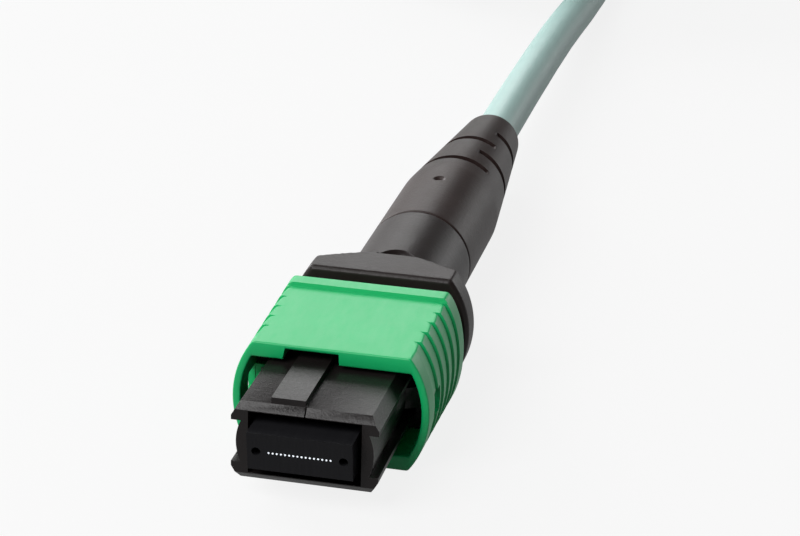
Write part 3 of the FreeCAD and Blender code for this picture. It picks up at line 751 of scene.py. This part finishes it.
bundle, bundle_place = finish("loose_fibres", Roughness=0.4)
drawn_out = bundle_place.node("ShaderNodeMapping", {"Vector": bundle_place, "Scale": (1, 0.01, 1)})
fibre_width = 0.3
drawn_out.node(
    "ShaderNodeTexVoronoi", {"Vector": drawn_out, "Scale": 1 / (fibre_width * mm)}, out=1
).into("Base Color")
bundle_place.node(
    "ShaderNodeBump", {"Height": noise(bundle_place, 0.1), "Distance": 0.02 * mm}
).into("Normal")
dressed(edged("fibre_core", "fibre_bundle", 0.03), "plug", ["fibre_bundle"], bundle)

tie_cloth, tie_place = finish("woven_tie", Sheen_Weight=0.3, Sheen_Roughness=0.4)
yarn_pitch = 0.9
warp, weft = (
    tie_place.node(
        "ShaderNodeTexWave", {"Vector": tie_place, "Scale": 1 / (yarn_pitch * mm), "Distortion": 0.6},
        bands_direction=direction,
    ) for direction in "XY"
)
weave = warp * weft
weave.between((0.006, 0.006, 0.007, 1), (0.035, 0.035, 0.038, 1)).into("Base Color")
(weave * 0.2 + 0.65).into("Roughness")
tie_place.node("ShaderNodeBump", {"Height": weave, "Distance": 0.08 * mm}).into("Normal")
tie_thickness = 0.4
tie_width = 5.0
tie_middle = 105.0
tie_corner = 1.2
# The ties clear the winding's sides by the slack, and stay inside their solids by the inset.
tie_slack = 0.03
tie_inset = 0.01
inner_side, outer_side = lanes[1] - cable / 2 - tie_slack, lanes[0] + cable / 2 + tie_slack
under, over = lowest - cable / 2, lowest + (top_turn + 0.5) * cable
wound_section = np.array([[inner_side, under], [outer_side, under], [outer_side, over], [inner_side, over]])


def paced(outline, count):
    """A closed outline as count points that stand equally far apart along it."""
    closed = np.concatenate([outline, outline[:1]])
    run = np.concatenate([[0], np.cumsum(np.linalg.norm(np.diff(closed, axis=0), axis=1))])
    at = np.linspace(0, run[-1], count, endpoint=False)
    return np.stack([np.interp(at, run, closed[:, k]) for k in (0, 1)], -1)


# A band round one side of the winding: two rounded rectangles of (out from the middle, up), joined
# by rounded selvedges. Each row is (share of the way from inner to outer, share of the width).
bend_steps, band_columns = 9, 120
band_inner = paced(eased(wound_section, tie_corner, bend_steps), band_columns)
grown = wound_section + np.sign(wound_section - wound_section.mean(0)) * (tie_thickness - tie_inset)
band_outer = paced(eased(grown, tie_corner + tie_thickness, bend_steps), band_columns)
band_rows = np.array([[0, -0.47], [0, 0], [0, 0.47], [0.3, 0.5], [0.7, 0.5], [1, 0.47], [1, 0.2], [1, 0],
                      [1, -0.2], [1, -0.47], [0.7, -0.5], [0.3, -0.5]])
thick = band_rows[:, :1, None]
section = band_inner[None] * (1 - thick) + band_outer[None] * thick
across = tie_middle + tie_width * band_rows[:, 1:] + 0 * section[..., 0]
for name, side in (("right_tie", 1), ("left_tie", -1)):
    band = np.stack([coil_middle + side * section[..., 0], across, section[..., 1]], -1).reshape(-1, 3)
    tie = surface(name, band - plug_origin, ring_faces(*section.shape[:2]).tolist())
    dressed(tie, "plug", ["coil_ties"], tie_cloth)

# ---------------------------------------------------------------------------
# Stage: a pale floor that stays near white to the eye and keeps the plug's soft shadow. A broad
# lamp hangs above, three stand low behind the plug, and a weak one is in front.
# ---------------------------------------------------------------------------
floor_mesh = bpy.data.meshes.new("floor")
span = 3.0
floor_corners = [(-span, -span, 0), (span, -span, 0), (span, span, 0), (-span, span, 0)]
floor_mesh.from_pydata(floor_corners, [], [(0, 1, 2, 3)])
floor = bpy.data.objects.new("floor", floor_mesh)
bpy.context.scene.collection.objects.link(floor)
floor_paint = bpy.data.materials.new("white_floor")
floor_paint.use_nodes = True
tree = floor_paint.node_tree
paint = tree.nodes["Principled BSDF"]
paint.inputs["Roughness"].default_value = 0.9
rays = tree.nodes.new("ShaderNodeLightPath")
seen = Value(tree, rays.outputs["Is Camera Ray"])
mirrored_ray = Value(tree, rays.outputs["Is Glossy Ray"])
through_ray = Value(tree, rays.outputs["Is Transmission Ray"])
# The paint is darker to the light that it throws back on the plug than to the eye.
(seen * 0.35 + 0.18).into("Base Color")
glowing = seen * 0.85 + (mirrored_ray + through_ray) * 0.45
glow = glowing.node("ShaderNodeEmission", {"Color": (1, 1, 1, 1), "Strength": 1.0})
mixed = glowing.node("ShaderNodeMixShader", {0: glowing, 1: Value(tree, paint.outputs[0]), 2: glow})
tree.links.new(mixed.socket, tree.nodes["Material Output"].inputs[0])
floor.data.materials.append(floor_paint)

world = bpy.data.worlds.new("studio")
bpy.context.scene.world = world
world.use_nodes = True
sky = world.node_tree.nodes["Background"]
sky.inputs["Color"].default_value = (1, 1, 1, 1)
sky_rays = world.node_tree.nodes.new("ShaderNodeLightPath")
direct = Value(world.node_tree, sky_rays.outputs["Is Camera Ray"])
world.node_tree.links.new((direct * 0.9 + 0.1).socket, sky.inputs["Strength"])


def lamp(name, place, width, depth, watts):
    """A soft rectangular lamp at place, turned to face the origin, under the plug's middle."""
    data = bpy.data.lights.new(name, "AREA")
    data.shape = "RECTANGLE"
    data.size, data.size_y = width, depth
    data.energy = watts
    made = bpy.data.objects.new(name, data)
    bpy.context.scene.collection.objects.link(made)
    made.location = place
    made.rotation_mode = "QUATERNION"
    made.rotation_quaternion = (-Vector(place)).to_track_quat("-Z", "Y")


lamp("overhead", (-0.24, -0.33, 0.42), width=0.45, depth=0.3, watts=3.4)
lamp("low_behind", (-0.27, 0.5, 0.3), width=0.58, depth=0.3, watts=1.5)
lamp("left_behind", (-0.5, 0.3, 0.22), width=0.35, depth=0.35, watts=3.0)
lamp("right_behind", (0.4, 0.55, 0.16), width=0.3, depth=0.25, watts=0.8)
lamp("front_left", (-0.35, -0.5, 0.25), width=0.3, depth=0.3, watts=0.15)

camera_data = bpy.data.cameras.new("camera")
camera_data.sensor_width = 36.0
camera_data.lens = 115.5
camera_data.clip_start = 0.01
camera_data.clip_end = 10.0
camera = bpy.data.objects.new("camera", camera_data)
bpy.context.scene.collection.objects.link(camera)
camera_place = (0.034139, -0.159821, 0.070325)
camera_right = (0.97454, 0.22277, 0.02553)
camera_up = (-0.10658, 0.36003, 0.92683)
camera_back = (0.19728, -0.90595, 0.37461)
camera_turn = Matrix((camera_right, camera_up, camera_back)).transposed().to_4x4()
camera.matrix_world = Matrix.Translation(camera_place) @ camera_turn
bpy.context.scene.camera = camera
bpy.context.scene.view_settings.view_transform = "Standard"
